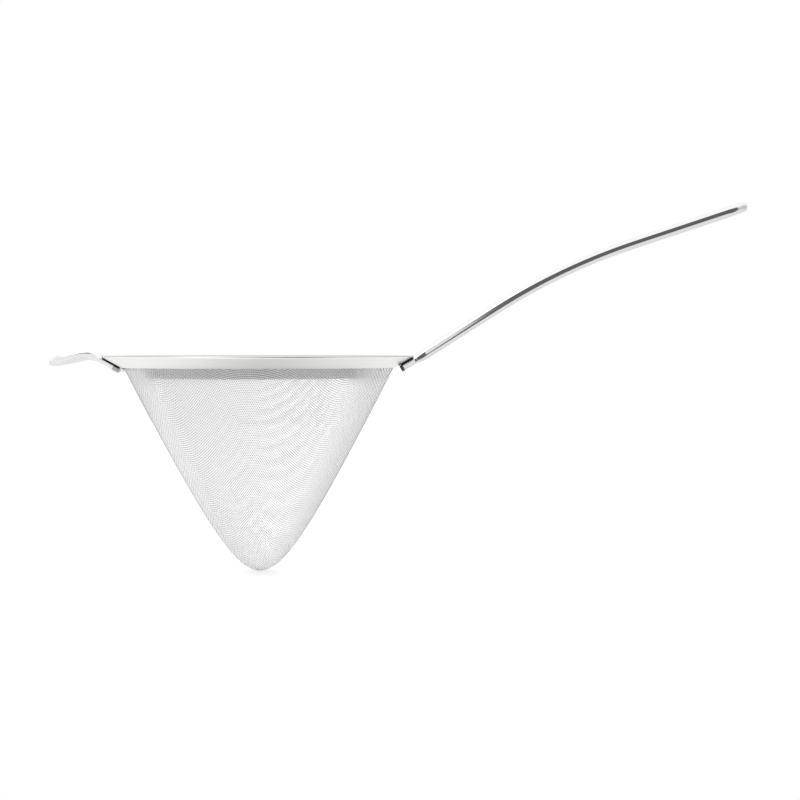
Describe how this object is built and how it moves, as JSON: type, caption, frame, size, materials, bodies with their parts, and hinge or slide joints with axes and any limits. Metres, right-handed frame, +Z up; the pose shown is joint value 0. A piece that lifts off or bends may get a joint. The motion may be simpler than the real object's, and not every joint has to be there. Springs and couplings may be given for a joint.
{
  "type": "tea strainer",
  "caption": "Conical wire-mesh tea strainer with a dished steel rim, a long wire loop handle and a short wire rest hook.",
  "frame": {"origin": "on the cone's axis, level with the rim's top edge", "axes": "+Z up out of the cone, +X from the axis towards the handle, -X towards the rest hook"},
  "size_m": [0.1799, 0.0798, 0.095],
  "materials": {
    "rim_steel": "polished stainless sheet",
    "cloth_steel": "bright woven stainless wire, 0.2 mm at about 0.5 mm pitch",
    "clamp_steel": "satin stainless sheet",
    "handle_steel": "polished stainless wire",
    "hook_steel": "polished stainless wire"
  },
  "bodies": {
    "root": {"rim_band": "rim_steel", "mesh_cone": "cloth_steel", "clamp_ring": "clamp_steel", "handle_loop": "handle_steel", "rest_hook": "hook_steel"}
  },
  "joints": []
}
